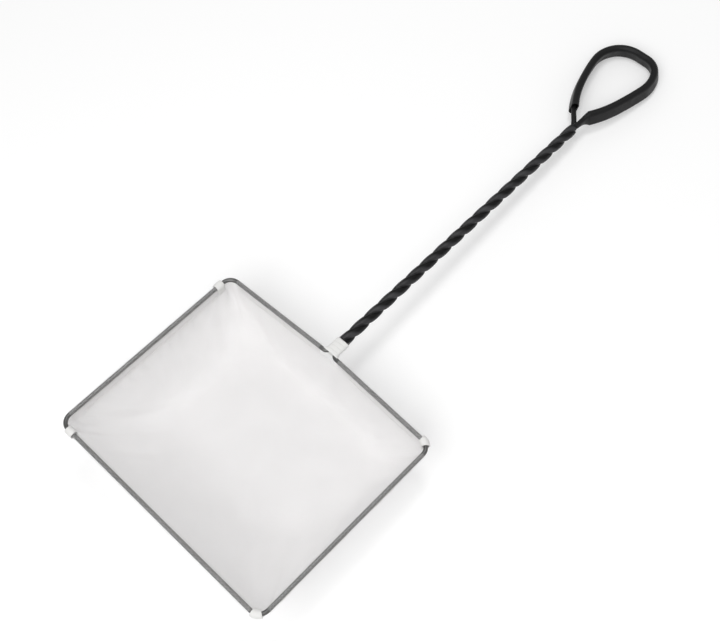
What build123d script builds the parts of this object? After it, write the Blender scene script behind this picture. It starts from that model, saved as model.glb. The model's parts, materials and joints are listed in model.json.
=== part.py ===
from build123d import *
import math
import os

# Aquarium fish net at rest on a table: the hoop leans on its bag, the handle slopes down to the hanging loop.
# Millimetres, +Z up, +Y along the handle. The origin lies under the middle of the net's bounding box.

# Hoop: one bent steel wire, its back side drawn to a low peak where the handle starts
wire_diameter = 2.4
hoop_width = 150.0
hoop_depth = 121.0
hoop_peak = 3.0
hoop_corner_radius = 6.0
neck_length = 10.5
neck_bend_radius = 2.5
neck_spread = 0.6
hoop_height = 34.0

# Neck wrap: a band of white tape round the two bare legs between the hoop and the coating
wrap_thickness = 0.5
wrap_clearance = 0.1
wrap_start = 1.6

# Handle: the two wire legs, coated and twisted together
coating_thickness = 0.35
coating_clearance = 0.05
strand_gap = 0.2
twist_length = 195.5
twist_whole_turns = 8
turn_quarters = 4
end_quarters = 3

# Hanging loop: a lopsided teardrop, longer on its left
loop_length = 71.5
loop_shoulder = 49.5
loop_left_reach = 23.2
loop_right_reach = 13.6
loop_left_bend = 17.3
loop_right_bend = 13.4
loop_flare = 9.8
left_kink_rise = 7.5
left_kink_reach = 5.2
left_kink_spread = 41.7
right_kink_rise = 12.0
right_kink_reach = 1.5
right_kink_spread = 31.5

# Flat sleeve over the loop, its upper edge leaning in
sleeve_width = 9.7
sleeve_lean = 11.4
sleeve_wall = 0.55
sleeve_clearance = 0.12
sleeve_left_bare = 6.6
sleeve_right_bare = 0.8

# Hem: the bag's edge folded round the wire, both layers sewn together below it
cloth_thickness = 0.4
hem_clearance = 0.12
hem_tail = 5.0
hem_lean = 14.0
neck_hem_gap = 4.5
thread_diameter = 0.5
thread_depth = 3.6
seat_gap = 0.05

# Corner tabs: short folds of tape over the hem, next to the corners
tab_length = 5.0
tab_tail = 3.2
tab_thickness = 0.45
tab_clearance = 0.1
tab_corner_sweep = 70.0

# Bag: four walls that sag inward to a flat floor
bag_wall = 0.6
floor_thickness = 0.6
floor_gap = 0.3
front_inset = 30.0
back_inset = 10.0
side_inset = 18.0
floor_corner_radius = 24.0
sag_power = 2.0
wall_stations = (0.0, 0.3, 0.55, 0.75, 0.9, 1.0)
seam_width = 0.8
seam_height = 1.2

# Values that follow from the sizes above
wire_radius = wire_diameter / 2
coating_inner = wire_radius + coating_clearance
strand_radius = coating_inner + coating_thickness
twist_radius = strand_radius + strand_gap / 2
neck_offset = twist_radius + neck_spread
coat_start = hoop_peak + neck_length
back_rise = hoop_peak / (hoop_width / 2 - neck_offset)
twist_turns = twist_whole_turns + end_quarters / turn_quarters
twist_pitch = twist_length / twist_turns
loop_root = coat_start + twist_length
loop_top = loop_root + loop_length
sleeve_thickness = 2 * (strand_radius + sleeve_clearance + sleeve_wall)
hem_inner = wire_radius + hem_clearance
hem_outer = hem_inner + cloth_thickness
hem_end = hem_outer + hem_tail
tab_inner = hem_outer + tab_clearance
tab_outer = tab_inner + tab_thickness

# The lean that brings the sleeve's lower edge and the bag's floor to the table together
sleeve_radius = sleeve_thickness / 2
edge_out = (sleeve_width / 2 - sleeve_radius) * math.sin(math.radians(sleeve_lean))
edge_drop = (sleeve_width / 2 - sleeve_radius) * math.cos(math.radians(sleeve_lean))
edge_arm = math.hypot(loop_top + edge_out, edge_drop)
lean = math.asin((hoop_height - sleeve_radius) / edge_arm) - math.atan2(edge_drop, loop_top + edge_out)
lower_edge = (loop_top + edge_out) * math.cos(lean) - edge_drop * math.sin(lean)
upper_edge = (loop_top - edge_out) * math.cos(lean) + edge_drop * math.sin(lean)
reach_back = max(lower_edge, upper_edge) + sleeve_radius
reach_front = -(hoop_depth + tab_outer) * math.cos(lean)
rest_y = -(reach_back + reach_front) / 2
at_rest = Pos(0, rest_y, hoop_height) * Rot(-math.degrees(lean), 0, 0)


def unit(angle):
    """Direction in the hoop's plane, in degrees from +X toward +Y."""
    return Vector(math.cos(math.radians(angle)), math.sin(math.radians(angle)))


def biarc(start, start_direction, end, end_direction):
    """Two tangent arcs between two points with given directions, or one line where they are in line."""
    chord = end - start
    if chord.normalized().dot(start_direction) > 0.999999 and start_direction.dot(end_direction) > 0.999999:
        return [Line(start, end).edge()]
    together = start_direction + end_direction
    bend = 2 * (1 - start_direction.dot(end_direction))
    along = chord.dot(together)
    if bend < 1e-9:
        handle = chord.dot(chord) / (2 * along)
    else:
        handle = (math.sqrt(along**2 + bend * chord.dot(chord)) - along) / bend
    first = start + start_direction * handle
    last = end - end_direction * handle
    middle = (first + last) * 0.5
    middle_direction = (last - first).normalized()
    return [
        TangentArc(start, middle, tangent=start_direction).edge(),
        TangentArc(middle, end, tangent=middle_direction).edge(),
    ]


def smooth_path(stations):
    """Edges through stations of (point, direction)."""
    edges = []
    for (start, start_direction), (end, end_direction) in zip(stations, stations[1:]):
        edges += biarc(start, start_direction, end, end_direction)
    return edges


def tube(edges, radius, bore=0.0):
    """Round rod, or tube where a bore is given, along connected edges."""
    path = Wire(edges)
    section = Circle(radius)
    if bore:
        section -= Circle(bore)
    swept = sweep(Plane(edges[0] @ 0, z_dir=edges[0] % 0) * section, path=path)
    expected = math.pi * (radius**2 - bore**2) * path.length
    print(f"rod of {path.length:.1f} mm: volume is {swept.volume / expected:.4f} of section times length")
    return swept


# Hoop wire

def hoop_points():
    """Corners of the hoop's centre line, from the right neck leg round to the left one."""
    half = hoop_width / 2
    right = [
        Vector(neck_offset, coat_start),
        Vector(neck_offset, hoop_peak),
        Vector(half, 0),
        Vector(half, -hoop_depth),
    ]
    return right + [Vector(-point.X, point.Y) for point in reversed(right)]


def hoop_path():
    """Edges of the hoop's centre line."""
    corner = hoop_corner_radius
    bends = [neck_bend_radius, corner, corner, corner, corner, neck_bend_radius]
    return FilletPolyline(*hoop_points(), radius=bends).edges()


def neck_wrap():
    """Hollow band over both legs, notched where they bend out to the hoop's back side."""
    inner_height = 2 * (wire_radius + wrap_clearance)
    inner_width = 2 * neck_offset + inner_height
    inner = SlotOverall(inner_width, inner_height)
    outer = SlotOverall(inner_width + 2 * wrap_thickness, inner_height + 2 * wrap_thickness)
    start = hoop_peak + wrap_start
    section_plane = Plane((0, start, 0), x_dir=(1, 0, 0), z_dir=(0, 1, 0))
    band = extrude(section_plane * (outer - inner), coat_start - seat_gap - start)
    return band - tube(hoop_path(), wire_radius + wrap_clearance)


# Twisted strands

def twist_station(side, turn):
    """Point and direction on a right-handed strand after some turns: side is -1 on the left, 1 on the right."""
    angle = 2 * math.pi * turn + side * math.pi / 2
    lead = twist_pitch / (2 * math.pi)
    point = Vector(
        twist_radius * math.sin(angle),
        coat_start + twist_pitch * turn,
        twist_radius * math.cos(angle),
    )
    direction = Vector(twist_radius * math.cos(angle), lead, -twist_radius * math.sin(angle))
    return point, direction.normalized()


def strand_edges(side):
    """Centre line of one twisted leg, from the neck to the loop's root."""
    quarters = round(twist_turns * turn_quarters)
    stations = [twist_station(side, quarter / turn_quarters) for quarter in range(quarters + 1)]
    stations[0] = (Vector(side * neck_offset, coat_start), Vector(0, 1))
    return smooth_path(stations)


def report_strand_gap(left, right, samples=12):
    """Prints the least clear distance between the two twisted legs."""
    share = [step / samples for step in range(samples)]
    left_points = [edge @ at for edge in left for at in share]
    right_points = [edge @ at for edge in right for at in share]
    nearest = min((one - other).length for one in left_points for other in right_points)
    print(f"least gap between the strands: {nearest - 2 * strand_radius:.2f} mm")


# Hanging loop

def loop_stations(root_height):
    """Stations of the teardrop, from the left leg's root to the right one's, root_height off its plane."""
    shoulder = loop_root + loop_shoulder
    left_direction, right_direction = twist_station(-1, twist_turns)[1], twist_station(1, twist_turns)[1]
    return [
        (Vector(0, loop_root, -root_height), left_direction),
        (Vector(-left_kink_reach, loop_root + left_kink_rise), unit(90 + left_kink_spread)),
        (Vector(-loop_left_reach, shoulder), unit(90 + loop_flare)),
        (Vector(loop_left_bend - loop_left_reach, loop_top), Vector(1, 0)),
        (Vector(loop_right_reach - loop_right_bend, loop_top), Vector(1, 0)),
        (Vector(loop_right_reach, shoulder), unit(270 - loop_flare)),
        (Vector(right_kink_reach, loop_root + right_kink_rise), unit(270 - right_kink_spread)),
        (Vector(0, loop_root, root_height), -right_direction),
    ]


def sleeve_edges():
    """Centre line of the sleeve: the teardrop without its two bare legs."""
    edges = smooth_path(loop_stations(0)[1:-1])
    first, last = edges[0], edges[-1]
    edges[0] = first.trim(sleeve_left_bare / first.length, 1)
    edges[-1] = last.trim(0, 1 - sleeve_right_bare / last.length)
    return edges


def loop_sleeve():
    edges = sleeve_edges()
    path = Wire(edges)
    outer = SlotOverall(sleeve_width, sleeve_thickness)
    inner = SlotOverall(sleeve_width - 2 * sleeve_wall, sleeve_thickness - 2 * sleeve_wall)
    section_plane = Plane(edges[0] @ 0, x_dir=(0, 0, 1), z_dir=edges[0] % 0)
    return sweep(section_plane * Rot(0, 0, sleeve_lean) * (outer - inner), path=path)


# Hems, thread and tabs on the hoop's straight sides

def hoop_sides():
    """Each straight side: name, start corner, end corner, and how far the hem stays off each."""
    half = hoop_width / 2
    front_left, front_right = Vector(-half, -hoop_depth), Vector(half, -hoop_depth)
    back_left, back_right = Vector(-half, 0), Vector(half, 0)
    neck_left, neck_right = Vector(-neck_offset, hoop_peak), Vector(neck_offset, hoop_peak)
    corner, neck = hoop_corner_radius, neck_hem_gap
    return {
        "front": (front_left, front_right, corner, corner),
        "right": (front_right, back_right, corner, corner),
        "back_right": (back_right, neck_right, corner, neck),
        "back_left": (neck_left, back_left, neck, corner),
        "left": (back_left, front_left, corner, corner),
    }


def side_plane(start, end, distance):
    """Section plane across a side, with X into the hoop and Y up, looking along the side."""
    along = (end - start).normalized()
    inward = Vector(-along.Y, along.X)
    return Plane(start + along * distance, x_dir=inward, z_dir=along)


def below_wire(width, depth, offset=0.0):
    """Strip of cloth hanging from the wire's centre, leaning into the hoop."""
    return Rot(0, 0, hem_lean) * Pos(offset, -depth / 2) * Rectangle(width, depth)


def hem_section():
    return Circle(hem_outer) + below_wire(2 * cloth_thickness, hem_end) - Circle(hem_inner)


def tab_section():
    slot = 2 * (cloth_thickness + tab_clearance)
    blank = Circle(tab_outer) + below_wire(slot + 2 * tab_thickness, hem_outer + tab_tail)
    return blank - Circle(tab_inner) - below_wire(slot, hem_end)


def thread_section():
    offset = cloth_thickness + seat_gap + thread_diameter / 2
    return Rot(0, 0, hem_lean) * Pos(offset, -hem_outer - thread_depth) * Circle(thread_diameter / 2)


def along_side(section, side, start_gap, end_gap):
    """Section drawn along a straight side, from start_gap after its start to end_gap before its end."""
    start, end = side[0], side[1]
    length = (end - start).length - start_gap - end_gap
    return extrude(side_plane(start, end, start_gap) * section, length)


def hem(side):
    return along_side(hem_section(), side, side[2], side[3])


def hem_thread(side):
    past_tab = tab_length + 2 * seat_gap
    return along_side(thread_section(), side, side[2] + past_tab, side[3] + past_tab)


def tab_on_side(side, at_start):
    """Tab beside a corner: at the start or the end of a side."""
    length = (side[1] - side[0]).length
    if at_start:
        return along_side(tab_section(), side, side[2], length - side[2] - tab_length)
    return along_side(tab_section(), side, length - side[3] - tab_length, side[3])


def tab_on_front_right_corner():
    """Tab round the corner bend itself."""
    centre = Vector(hoop_width / 2 - hoop_corner_radius, -hoop_depth + hoop_corner_radius)
    outward = unit(315 - tab_corner_sweep / 2)
    start = Plane(
        centre + outward * hoop_corner_radius,
        x_dir=-outward,
        z_dir=Vector(-outward.Y, outward.X),
    )
    return revolve(start * tab_section(), Axis(centre, (0, 0, 1)), tab_corner_sweep)


# Bag

def bag_outline(station):
    """Plane, sharp corners and corner radius of the bag's level section: 0 at the hem, 1 at the floor."""
    lean_angle = math.radians(hem_lean)
    hang = hem_end + cloth_thickness * math.tan(lean_angle) + seat_gap
    top_inset = hang * math.sin(lean_angle)
    drop = hang * math.cos(lean_angle)
    fall = 1 - station
    sag = station**sag_power

    def inset(floor_inset):
        return top_inset + (floor_inset - top_inset) * sag

    tilt = lean * fall
    middle = Vector(0, rest_y - drop * math.sin(lean) * fall, (hoop_height - drop * math.cos(lean)) * fall)
    plane = Plane(middle, x_dir=(1, 0, 0), z_dir=(0, math.sin(tilt), math.cos(tilt)))
    rise = back_rise * (1 - sag)
    slope = math.degrees(math.atan(rise))
    half = hoop_width / 2 - inset(side_inset)
    front = inset(front_inset) - hoop_depth
    back = inset(side_inset) * rise - inset(back_inset) / math.cos(math.atan(rise))
    peak = half * rise
    radius = hoop_corner_radius - top_inset + (floor_corner_radius - hoop_corner_radius + top_inset) * sag
    sides = [
        ("front", Vector(-half, front), 270),
        ("right", Vector(half, front), 360),
        ("back", Vector(half, back), 450 - slope),
        ("back", Vector(0, back + peak), 450 + slope),
        ("left", Vector(-half, back), 540),
    ]
    return plane, sides, radius


def round_corner(sides, radius, index):
    """Centre of a corner's bend, and the outward angles where it starts and ends."""
    before, after = sides[index - 1][2], sides[index][2]
    if index == 0:
        before -= 360
    one, other = unit(before), unit(after)
    centre = sides[index][1] - (one + other) * (radius / (1 + one.dot(other)))
    return centre, before, after


def corner_arc(centre, radius, start, end):
    """Points at the start, middle and end of a bend."""
    return [centre + unit(angle) * radius for angle in (start, (start + end) / 2, end)]


def wall_face(station, first, last):
    """Thin level section of one wall, from the middle of its first corner to the middle of its last."""
    plane, sides, radius = bag_outline(station)
    start_centre, start_before, start_after = round_corner(sides, radius, first)
    end_centre, end_before, end_after = round_corner(sides, radius, last % len(sides))
    if last == len(sides):
        end_before, end_after = end_before + 360, end_after + 360
    layers = []
    for offset in (bag_wall / 2, -bag_wall / 2):
        bend = radius + offset
        start = corner_arc(start_centre, bend, (start_before + start_after) / 2, start_after)
        end = corner_arc(end_centre, bend, end_before, (end_before + end_after) / 2)
        points = [start[2]]
        if last - first == 2:
            slope = math.radians(sides[last - 1][2] - 450)
            points.append(sides[first + 1][1] + Vector(0, offset / math.cos(slope)))
        points.append(end[0])
        runs = [Line(one, other) for one, other in zip(points, points[1:])]
        layers.append([ThreePointArc(*start), *runs, ThreePointArc(*end), start[0], end[2]])
    outer, inner = layers
    closing = [Line(outer[-1], inner[-1]), Line(inner[-2], outer[-2])]
    edges = [curve.edge() for curve in outer[:-2] + inner[:-2] + closing]
    return plane * make_face(edges)


def bag_wall_panel(first, last):
    return loft([wall_face(station, first, last) for station in wall_stations], ruled=True)


def bag_floor():
    """Flat bottom, clear of the walls' lower edge all round."""
    plane, sides, radius = bag_outline(1)
    shrink = bag_wall / 2 + floor_gap
    half, front = sides[1][1].X - shrink, sides[1][1].Y + shrink
    back = sides[2][1].Y - shrink
    sheet = RectangleRounded(2 * half, back - front, radius - shrink)
    return extrude(plane * Pos(0, (front + back) / 2) * sheet, floor_thickness)


def corner_seam(index):
    """Sewn allowance that stands out along one corner of the bag."""
    faces = []
    for station in wall_stations[:-1]:
        plane, sides, radius = bag_outline(station)
        centre, before, after = round_corner(sides, radius, index)
        angle = (before + after) / 2
        base = radius + bag_wall / 2 + seat_gap
        height = seam_height * (1 - station)
        spot = Plane(centre + unit(angle) * (base + (height + seam_width) / 2), x_dir=unit(angle), z_dir=(0, 0, 1))
        faces.append(plane * spot * Rectangle(height + seam_width, seam_width))
    return loft(faces, ruled=True)


def save(name, solid):
    export_step(solid, f"parts/{name}.step")


def main():
    os.makedirs("parts", exist_ok=True)
    left_strand, right_strand = strand_edges(-1), strand_edges(1)
    loop_edges = smooth_path(loop_stations(twist_radius))
    report_strand_gap(left_strand, right_strand)
    sides = hoop_sides()
    leaning = {
        "hoop_wire": tube(hoop_path(), wire_radius),
        "neck_wrap": neck_wrap(),
        "strand_wire_left": tube(left_strand, wire_radius),
        "strand_wire_right": tube(right_strand, wire_radius),
        "strand_coating_left": tube(left_strand, strand_radius, coating_inner),
        "strand_coating_right": tube(right_strand, strand_radius, coating_inner),
        "loop_wire": tube(loop_edges, wire_radius),
        "loop_coating": tube(loop_edges, strand_radius, coating_inner),
        "loop_sleeve": loop_sleeve(),
        "tab_back_left": tab_on_side(sides["left"], at_start=True),
        "tab_front_left": tab_on_side(sides["front"], at_start=True),
        "tab_back_right": tab_on_side(sides["back_right"], at_start=True),
        "tab_front_right": tab_on_front_right_corner(),
    }
    for side_name, side in sides.items():
        leaning[f"hem_{side_name}"] = hem(side)
        leaning[f"thread_{side_name}"] = hem_thread(side)
    for name, solid in leaning.items():
        save(name, at_rest * solid)

    panels = {"front": (0, 1), "right": (1, 2), "back": (2, 4), "left": (4, 5)}
    for panel_name, (first, last) in panels.items():
        save(f"bag_{panel_name}", bag_wall_panel(first, last))
    save("bag_floor", bag_floor())
    seams = {"front_left": 0, "front_right": 1, "back_right": 2, "back_left": 4}
    for seam_name, index in seams.items():
        save(f"seam_{seam_name}", corner_seam(index))


main()
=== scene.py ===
"""Looks of an aquarium hand net: wire hoop, soft mesh bag, dipped twisted handle and sleeved hanging loop."""

import json
import math

import bmesh
import bpy
import numpy as np
from mathutils import Euler, Matrix, Vector, noise


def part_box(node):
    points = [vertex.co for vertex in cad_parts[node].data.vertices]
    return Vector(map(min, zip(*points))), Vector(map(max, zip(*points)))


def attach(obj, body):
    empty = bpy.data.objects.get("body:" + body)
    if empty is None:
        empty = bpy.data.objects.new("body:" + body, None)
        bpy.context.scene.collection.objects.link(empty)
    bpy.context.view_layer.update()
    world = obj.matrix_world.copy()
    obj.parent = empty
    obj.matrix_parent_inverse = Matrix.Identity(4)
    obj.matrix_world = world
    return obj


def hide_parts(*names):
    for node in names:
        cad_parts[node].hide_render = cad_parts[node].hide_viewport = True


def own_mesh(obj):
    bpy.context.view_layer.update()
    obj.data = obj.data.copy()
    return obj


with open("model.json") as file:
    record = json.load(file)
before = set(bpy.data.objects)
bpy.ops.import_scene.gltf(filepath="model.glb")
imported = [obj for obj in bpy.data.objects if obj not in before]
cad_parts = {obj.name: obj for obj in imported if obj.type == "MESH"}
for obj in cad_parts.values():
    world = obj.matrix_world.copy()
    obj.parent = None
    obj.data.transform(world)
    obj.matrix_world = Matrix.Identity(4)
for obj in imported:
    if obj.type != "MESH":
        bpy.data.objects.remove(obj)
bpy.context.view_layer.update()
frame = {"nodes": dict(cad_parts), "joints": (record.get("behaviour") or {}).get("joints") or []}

bl_info = {
    "name": "Aquarium Hand Net",
    "version": (1, 0, 0),
    "blender": (4, 5, 0),
    "location": "View3D > Sidebar > Hand Net",
    "description": "Dresses the packed hand net with cloth, stitching, coating and a studio",
    "category": "Object",
}

hoop_low, hoop_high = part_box("hoop_wire")
lift_joint = frame["joints"][0]
hoop_normal = Vector(lift_joint["axis"]).normalized()
hoop_lean = math.atan2(hoop_normal.y, hoop_normal.z)

FULL_TURN = 2 * math.pi
UP = np.array([0.0, 0.0, 1.0])
SEED_STEP = (13.7, 7.1, 3.3)  # how far apart in the noise two seeds are

# Sidebar properties


def length(name, default, text):
    """A length in metres."""
    return bpy.props.FloatProperty(name=name, description=text, default=default, unit="LENGTH", precision=5)


def colour(name, default, text):
    """A colour."""
    return bpy.props.FloatVectorProperty(
        name=name, description=text, default=default, size=3, min=0, max=1, subtype="COLOR"
    )


def portion(name, default, text):
    """A share from 0 to 1."""
    return bpy.props.FloatProperty(name=name, description=text, default=default, min=0, max=1, subtype="FACTOR")


def power(name, default, text):
    """A lamp's power."""
    return bpy.props.FloatProperty(name=name, description=text, default=default, min=0, unit="POWER")


class NetSizes(bpy.types.PropertyGroup):
    """Sizes of the net's soft and coated pieces."""

    wire: length("Wire", 0.0024, "Diameter of the hoop's wire")
    depth: length("Hoop depth", 0.121, "Hoop from back to front, at the wire's middle")
    corner: length("Hoop corner", 0.006, "Bend radius of the hoop's corners")
    peak: length("Hoop peak", 0.003, "Rise of the hoop's back side at the neck")
    neck_half: length("Neck half width", 0.0023, "Half the distance between the two neck legs")
    neck_gap: length("Neck gap", 0.0045, "Bare wire between hem and neck")
    hem_radius: length("Hem radius", 0.00172, "Hem round the wire")
    hem_tail: length("Hem tail", 0.005, "Sewn double cloth below the wire")
    hem_lean: bpy.props.FloatProperty(
        name="Hem lean", description="Lean of the hem's tail into the hoop", default=math.radians(14), subtype="ANGLE"
    )
    front_inset: length("Front inset", 0.030, "Floor's front edge inside the hoop")
    back_inset: length("Back inset", 0.010, "Floor's back edge inside the hoop")
    side_inset: length("Side inset", 0.018, "Floor's side edges inside the hoop")
    floor_corner: length("Floor corner", 0.024, "Corner radius of the bag's floor")
    slack_corner: length("Slack corner", 0.022, "More radius where the front right corner hangs slack")
    fold: length("Corner fold", 0.0007, "Height of the folds beside the bag's corners")
    billow: length("Billow", 0.0012, "Height of the soft waves in the walls")
    pucker: length("Pucker", 0.00035, "Height of the puckers under the hem")
    stitch: length("Stitch", 0.0024, "Length of a hem stitch")
    stitch_step: length("Stitch step", 0.0032, "From one hem stitch to the next")
    stitch_depth: length("Stitch depth", 0.0053, "Hem stitches below the wire's middle")
    thread: length("Thread", 0.00046, "Diameter of the sewing thread")
    tab: length("Tab", 0.005, "Length of a corner tab")
    tab_tail: length("Tab tail", 0.0032, "Tab below the hem's round part")
    tape: length("Tape", 0.00045, "Thickness of the white tape")
    coat_wide: length("Coat width", 0.0064, "Dipped handle across both strands")
    coat_narrow: length("Coat depth", 0.0058, "Dipped handle across the groove")
    groove: length("Coat groove", 0.0010, "Depth of the groove between the strands")


class NetFinishes(bpy.types.PropertyGroup):
    """Colours of the finishes."""

    steel: colour("Steel", (0.16, 0.16, 0.157), "Bare drawn wire")
    vinyl: colour("Vinyl", (0.0055, 0.0055, 0.0058), "Dipped coating on handle and loop")
    sleeve: colour("Sleeve", (0.0065, 0.0065, 0.0068), "Flat sleeve on the hanging loop")
    net: colour("Net", (0.885, 0.873, 0.872), "Soft mesh of the bag")
    tape: colour("Tape", (0.86, 0.855, 0.84), "White tape of tabs, seams and neck")
    thread: colour("Thread", (0.87, 0.86, 0.84), "White sewing thread")
    cell: length("Net cell", 0.0007, "From one thread of the mesh to the next")
    bag_share: portion("Bag thread", 0.6, "Thread's share of a cell in the bag")
    hem_share: portion("Hem thread", 0.1, "Thread's share of a cell where the hem is drawn over the wire")
    glow: portion("Net glow", 0.06, "Share of the light that a thread of the mesh lets through")


class NetStudio(bpy.types.PropertyGroup):
    """Camera and light."""

    camera_place: bpy.props.FloatVectorProperty(
        name="Camera", description="Camera's place from the middle of the hoop's back side", size=3, precision=4,
        default=(0.2201, -0.1797, 0.5443), subtype="TRANSLATION", unit="LENGTH",
    )
    camera_turn: bpy.props.FloatVectorProperty(
        name="Camera turn", description="Camera's turn against the hoop", size=3, precision=3, subtype="EULER",
        default=(math.radians(29.20), math.radians(1.713), math.radians(43.80)),
    )
    lens: bpy.props.FloatProperty(name="Lens", description="Focal length", default=57.5, min=1, unit="CAMERA")
    room: bpy.props.FloatProperty(name="Room light", description="Even light from all round", default=0.48, min=0)
    key: power("Key light", 8.3, "Large soft lamp in front")
    top: power("Top light", 2.4, "Small soft lamp above the handle")
    floor: colour("Floor", (0.82, 0.82, 0.82), "Pale floor")
    glow: portion("Floor white", 0.2, "White added to the floor under the net as the camera sees it")


# Places and grids


def hoop_place():
    """Matrix from the hoop's own plane, its origin at the middle of the back side, to the table's frame."""
    sizes = bpy.context.scene.net_sizes
    radius = sizes.wire / 2
    y = hoop_low.y + radius + sizes.depth * math.cos(hoop_lean)
    z = hoop_high.z - radius - sizes.depth * math.sin(hoop_lean)
    return Matrix.Translation((0, y, z)) @ Matrix.Rotation(-hoop_lean, 4, "X")


def from_hoop(points):
    """Points of the hoop's plane, in the table's frame."""
    place = np.array(hoop_place())
    return np.asarray(points, float) @ place[:3, :3].T + place[:3, 3]


def hoop_half():
    """Half the hoop's width at the wire's middle."""
    return (hoop_high.x - hoop_low.x - bpy.context.scene.net_sizes.wire) / 2


def grid_faces(rows, columns, closed):
    """Quads between rows of points; closed joins the last column to the first."""
    faces = []
    for row in range(rows - 1):
        for column in range(columns if closed else columns - 1):
            after = (column + 1) % columns
            base = row * columns
            faces.append((base + column, base + after, base + columns + after, base + columns + column))
    return faces


def grid_map(rows, columns, closed, across, along):
    """Cloth coordinates in metres of each corner of grid_faces: across one row, along the rows."""
    spots = []
    for row in range(rows - 1):
        for column in range(columns if closed else columns - 1):
            spots += [
                (across[column], along[row]), (across[column + 1], along[row]),
                (across[column + 1], along[row + 1]), (across[column], along[row + 1]),
            ]
    return spots


def tube_faces(rings, sides):
    """Faces of a tube with both ends closed."""
    last = (rings - 1) * sides
    ends = [tuple(range(sides)), tuple(range(last + sides - 1, last - 1, -1))]
    return grid_faces(rings, sides, True) + ends


def tube_map(rings, sides, across, along):
    """Cloth coordinates of each corner of tube_faces; the ends are one spot each."""
    return grid_map(rings, sides, True, across, along) + [(0.0, 0.0)] * (2 * sides)


def round_angles(count):
    """Even angles round a section."""
    return np.linspace(0, FULL_TURN, count, endpoint=False)


def tube(line, radius, sides):
    """Rings of points round a line; radius may differ along it."""
    line = np.asarray(line, float)
    way = np.gradient(line, axis=0)
    way /= np.linalg.norm(way, axis=1)[:, None]
    steep = 0.8
    side = np.cross(way, UP if abs(way[0][2]) < steep else np.array([1.0, 0.0, 0.0]))
    side /= np.linalg.norm(side, axis=1)[:, None]
    over = np.cross(side, way)
    angle = round_angles(sides)
    reach = np.broadcast_to(radius, len(line))[:, None, None]
    ring = side[:, None] * np.cos(angle)[None, :, None] + over[:, None] * np.sin(angle)[None, :, None]
    return line[:, None] + reach * ring


def piece(name, points, faces, finish, spots=None):
    """New smooth mesh piece with a finish and, where given, its cloth coordinates."""
    mesh = bpy.data.meshes.new(name)
    mesh.from_pydata([tuple(point) for point in points], [], faces)
    mesh.polygons.foreach_set("use_smooth", [True] * len(mesh.polygons))
    if spots is not None:
        layer = mesh.uv_layers.new(name="cloth")
        layer.uv.foreach_set("vector", np.asarray(spots, np.float32).ravel())
    work = bmesh.new()
    work.from_mesh(mesh)
    bmesh.ops.recalc_face_normals(work, faces=work.faces)
    work.to_mesh(mesh)
    work.free()
    mesh.materials.append(finish)
    made = bpy.data.objects.new(name, mesh)
    bpy.context.scene.collection.objects.link(made)
    return made


def steps_along(points):
    """Distance along a line of points, from its first."""
    return np.concatenate([[0], np.cumsum(np.linalg.norm(np.diff(points, axis=0), axis=1))])


def ease(share):
    """Soft step from 0 to 1."""
    return share * share * (3 - 2 * share)


def stray(*spot):
    """Smooth noise from -1 to 1 at one spot."""
    return noise.noise(Vector(spot))


def waves(points, size, seed):
    """Smooth seeded noise from -1 to 1 at each point, with features of the given size."""
    shift = Vector([seed * step for step in SEED_STEP])
    flat = [noise.noise(Vector(point) / size + shift) for point in points.reshape(-1, 3)]
    return np.array(flat).reshape(points.shape[:-1])


# Finishes

NOISE_RANGE = (0.3, 0.7)  # where nearly all values of a noise texture lie
FLANK_RANGE = (-0.5, 0.95)  # of the wave round a strand, from its flank in painted shade to its flank with a painted highlight


class Finish:
    """Node tree of one finish, built up with short calls."""

    def __init__(self, name):
        self.material = bpy.data.materials.new(name)
        self.material.use_nodes = True
        self.nodes = self.material.node_tree.nodes
        self.links = self.material.node_tree.links
        self.shader = self.nodes["Principled BSDF"]

    def add(self, kind, settings=None, **sockets):
        """Node with its settings; a socket, by name or as _number, takes a value or another node's output."""
        node = self.nodes.new(kind)
        for key, value in (settings or {}).items():
            setattr(node, key, value)
        for key, value in sockets.items():
            self.put(node.inputs[int(key[1:])] if key[0] == "_" else node.inputs[key.replace("_", " ")], value)
        return node

    def put(self, socket, value):
        """Sets a socket, or links it to an output."""
        if isinstance(value, bpy.types.NodeSocket):
            self.links.new(value, socket)
        else:
            socket.default_value = value

    def set(self, **sockets):
        """Sets or links the shader's own sockets."""
        for key, value in sockets.items():
            self.put(self.shader.inputs[key.replace("_", " ")], value)

    def work_out(self, kind, first, second=0.0, third=0.0):
        """Output of a math node."""
        return self.add("ShaderNodeMath", {"operation": kind}, _0=first, _1=second, _2=third).outputs[0]

    def grain(self, vector, scale, detail=3.0, rough=0.55):
        """Noise as a factor."""
        made = self.add("ShaderNodeTexNoise", Vector=vector, Scale=scale, Detail=detail, Roughness=rough)
        return made.outputs["Fac"]

    def span(self, factor, low, high, at):
        """Factor stretched from the range at to another."""
        made = self.add(
            "ShaderNodeMapRange", Value=factor, From_Min=at[0], From_Max=at[1], To_Min=low, To_Max=high
        )
        return made.outputs[0]

    def shades(self, factor, base, dark, light):
        """Colour between two shades of a base."""
        ends = {"_6": (*shade_of(base, dark), 1), "_7": (*shade_of(base, light), 1)}
        return self.add("ShaderNodeMix", {"data_type": "RGBA"}, _0=factor, **ends).outputs[2]

    def bump(self, height, strength, distance):
        """Bumped normal."""
        made = self.add("ShaderNodeBump", Strength=strength, Distance=distance, Height=height)
        return made.outputs[0]

    def place(self):
        """The object's own coordinates, in metres."""
        return self.add("ShaderNodeTexCoord").outputs["Object"]

    def cloth(self):
        """The cloth's coordinates, in metres."""
        return self.add("ShaderNodeUVMap", {"uv_map": "cloth"}).outputs[0]


def shade_of(base, share):
    """A colour times a share."""
    return tuple(min(1.0, channel * share) for channel in base)


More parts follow.
